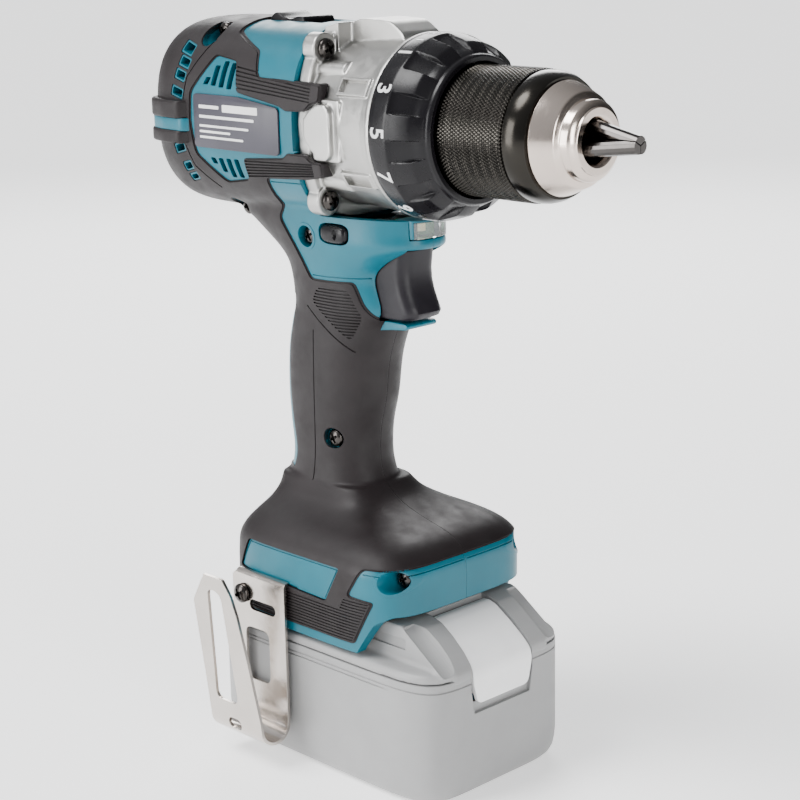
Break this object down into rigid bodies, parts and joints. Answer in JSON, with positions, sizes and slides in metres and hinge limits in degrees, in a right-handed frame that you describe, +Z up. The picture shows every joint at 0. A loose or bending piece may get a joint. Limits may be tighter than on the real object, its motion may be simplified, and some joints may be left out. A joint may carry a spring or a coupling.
{
  "type": "cordless drill driver",
  "caption": "Cordless drill driver with a keyless chuck, torque ring, rubber grip, belt clip and slide-on battery pack.",
  "frame": {"origin": "a point on the battery pack's flat underside, below the handle's front, on the plane where the housings meet", "axes": "+Z up from the pack's underside, +X along the spindle towards the chuck, +Y to the tool's left"},
  "size_m": [0.2094, 0.0993, 0.269],
  "materials": {
    "teal_plastic": "fine moulded texture",
    "rubber": "matt overmoulded elastomer",
    "cast_aluminium": "satin die casting",
    "nickel": "satin warm nickel plating",
    "steel": "ground steel",
    "black_steel": "black oxide",
    "black_metal": "black satin coating",
    "black_plastic": "satin moulded",
    "trigger_grey": "satin moulded",
    "label_grey": "satin film",
    "clear_plastic": "polished",
    "pack_plastic": "fine moulded texture",
    "button_white": "satin moulded",
    "cell_wrap": "shrink film",
    "circuit_board": "solder mask",
    "copper": "drawn metal"
  },
  "bodies": {
    "tool": {"belt_clip": "nickel", "case_screw_lower_left": "black_steel", "case_screw_lower_right": "black_steel", "case_screw_upper_left": "black_steel", "case_screw_upper_right": "black_steel", "clip_screw": "black_steel", "clutch_spring": "steel", "controller_block": "black_plastic", "controller_board": "circuit_board", "foot_screw": "black_steel", "front_bearing": "steel", "gear_case": "cast_aluminium", "gearbox_plate": "steel", "grip_left": "rubber", "grip_right": "rubber", "handle_screw": "black_steel", "head_lower_screw": "black_steel", "head_middle_screw": "black_steel", "head_rear_screw": "black_steel", "housing_left": "teal_plastic", "housing_right": "teal_plastic", "led_board": "circuit_board", "led_lens": "clear_plastic", "motor_stator": "copper", "name_plate_left": "label_grey", "name_plate_right": "label_grey", "rear_bearing": "steel", "ring_gear": "steel", "sensor_board": "circuit_board", "spindle_bearing": "steel", "switch_body": "black_plastic", "terminal_block": "black_plastic"},
    "spindle": {"spindle": "steel", "planet_carrier": "steel", "chuck_body": "nickel", "chuck_screw": "steel"},
    "sleeve": {"chuck_sleeve": "black_metal", "chuck_nut": "steel"},
    "jaw_1": {"jaw_1": "steel"},
    "jaw_2": {"jaw_2": "steel"},
    "jaw_3": {"jaw_3": "steel"},
    "rotor": {"motor_shaft": "steel", "rotor_core": "steel", "cooling_fan": "black_plastic"},
    "planet_1": {"planet_gear_1": "steel"},
    "planet_2": {"planet_gear_2": "steel"},
    "planet_3": {"planet_gear_3": "steel"},
    "torque_ring": {"torque_ring": "black_plastic"},
    "speed_lever": {"speed_lever": "black_plastic"},
    "direction_lever": {"direction_lever": "black_plastic"},
    "trigger": {"trigger": "trigger_grey"},
    "battery": {"battery_case": "pack_plastic", "battery_cover": "pack_plastic", "cell_pack": "cell_wrap", "pack_board": "circuit_board", "pack_contacts": "copper"},
    "release_button": {"release_button": "button_white"}
  },
  "joints": [
    {"name": "spindle_turn", "type": "hinge", "parent": "tool", "child": "spindle", "pos_m": [0.06, 0, 0.2325], "axis": [1, 0, 0], "continuous": true},
    {"name": "rotor_turn", "type": "hinge", "parent": "tool", "child": "rotor", "pos_m": [-0.06, 0, 0.2325], "axis": [1, 0, 0], "continuous": true},
    {"name": "sleeve_turn", "type": "hinge", "parent": "spindle", "child": "sleeve", "pos_m": [0.06, 0, 0.2325], "axis": [1, 0, 0], "range_deg": [0, 6750]},
    {"name": "planet_1_turn", "type": "hinge", "parent": "spindle", "child": "planet_1", "pos_m": [0, 0.01215, 0.2325], "axis": [1, 0, 0], "continuous": true},
    {"name": "planet_2_turn", "type": "hinge", "parent": "spindle", "child": "planet_2", "pos_m": [0, -0.00607, 0.24302], "axis": [1, 0, 0], "continuous": true},
    {"name": "planet_3_turn", "type": "hinge", "parent": "spindle", "child": "planet_3", "pos_m": [0, -0.00607, 0.22198], "axis": [1, 0, 0], "continuous": true},
    {"name": "jaw_1_slide", "type": "slide", "parent": "spindle", "child": "jaw_1", "axis": [-0.9781, 0, 0.2079], "range_m": [0, 0.03]},
    {"name": "jaw_2_slide", "type": "slide", "parent": "spindle", "child": "jaw_2", "axis": [-0.9781, -0.1801, -0.104], "range_m": [0, 0.03]},
    {"name": "jaw_3_slide", "type": "slide", "parent": "spindle", "child": "jaw_3", "axis": [-0.9781, 0.1801, -0.104], "range_m": [0, 0.03]},
    {"name": "torque_ring_turn", "type": "hinge", "parent": "tool", "child": "torque_ring", "pos_m": [0.03, 0, 0.2325], "axis": [1, 0, 0], "range_deg": [0, 330]},
    {"name": "speed_lever_slide", "type": "slide", "parent": "tool", "child": "speed_lever", "axis": [1, 0, 0], "range_m": [0, 0.008]},
    {"name": "direction_lever_slide", "type": "slide", "parent": "tool", "child": "direction_lever", "axis": [0, 1, 0], "range_m": [-0.003, 0.003]},
    {"name": "trigger_pull", "type": "slide", "parent": "tool", "child": "trigger", "axis": [-1, 0, 0], "range_m": [0, 0.005], "stiffness_N_per_m": 600, "springref_m": -0.002},
    {"name": "battery_slide", "type": "slide", "parent": "tool", "child": "battery", "axis": [1, 0, 0], "range_m": [0, 0.1]},
    {"name": "release_button_press", "type": "slide", "parent": "battery", "child": "release_button", "axis": [0, 0, -1], "range_m": [0, 0.003], "stiffness_N_per_m": 500, "springref_m": -0.002}
  ],
  "couplings": [
    {"joint": "rotor_turn", "follows": "spindle_turn", "ratio": 6},
    {"joint": "planet_1_turn", "follows": "spindle_turn", "ratio": -2.5},
    {"joint": "planet_2_turn", "follows": "spindle_turn", "ratio": -2.5},
    {"joint": "planet_3_turn", "follows": "spindle_turn", "ratio": -2.5},
    {"joint": "jaw_1_slide", "follows": "sleeve_turn", "m_per_rad": 0.00025462},
    {"joint": "jaw_2_slide", "follows": "sleeve_turn", "m_per_rad": 0.00025462},
    {"joint": "jaw_3_slide", "follows": "sleeve_turn", "m_per_rad": 0.00025462}
  ]
}
